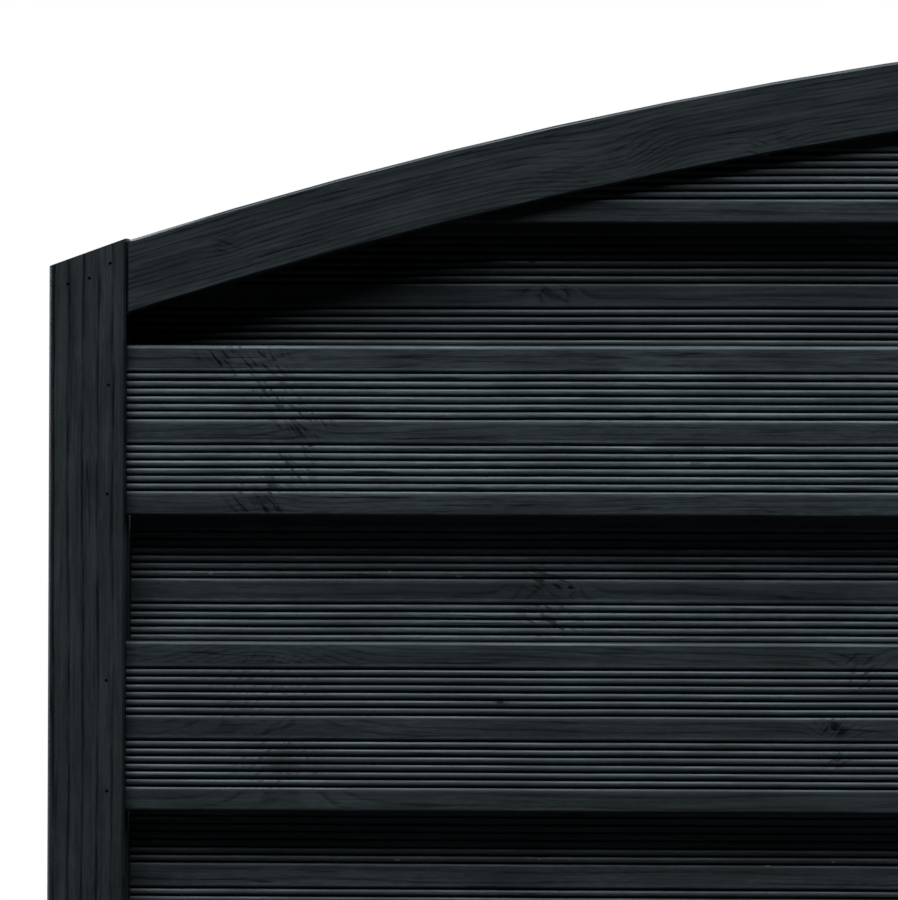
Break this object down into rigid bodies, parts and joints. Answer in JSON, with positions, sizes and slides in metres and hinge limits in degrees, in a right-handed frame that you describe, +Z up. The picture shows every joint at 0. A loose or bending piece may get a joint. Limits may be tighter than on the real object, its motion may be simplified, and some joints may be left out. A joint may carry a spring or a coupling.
{
  "type": "ribbed fence panel with arched top",
  "caption": "Framed timber fence panel with an arched top rail and two staggered layers of ribbed horizontal boards, stained slate black.",
  "frame": {"origin": "middle of the left stile's outer face, which bears on the fence post", "axes": "+X along the panel from the left stile, +Y towards the back, +Z up"},
  "size_m": [1.8, 0.05, 1.796],
  "materials": {
    "frame_stain": "slate-black stain on planed softwood, satin",
    "board_stain": "slate-black stain on ribbed softwood, satin"
  },
  "bodies": {
    "root": {"stile_left": "frame_stain", "stile_right": "frame_stain", "arch_rail": "frame_stain", "bottom_rail": "frame_stain", "front_board_01": "board_stain", "front_board_02": "board_stain", "front_board_03": "board_stain", "front_board_04": "board_stain", "front_board_05": "board_stain", "front_board_06": "board_stain", "front_board_07": "board_stain", "front_board_08": "board_stain", "front_board_09": "board_stain", "front_board_10": "board_stain", "front_board_11": "board_stain", "back_board_01": "board_stain", "back_board_02": "board_stain", "back_board_03": "board_stain", "back_board_04": "board_stain", "back_board_05": "board_stain", "back_board_06": "board_stain", "back_board_07": "board_stain", "back_board_08": "board_stain", "back_board_09": "board_stain", "back_board_10": "board_stain"}
  },
  "joints": []
}
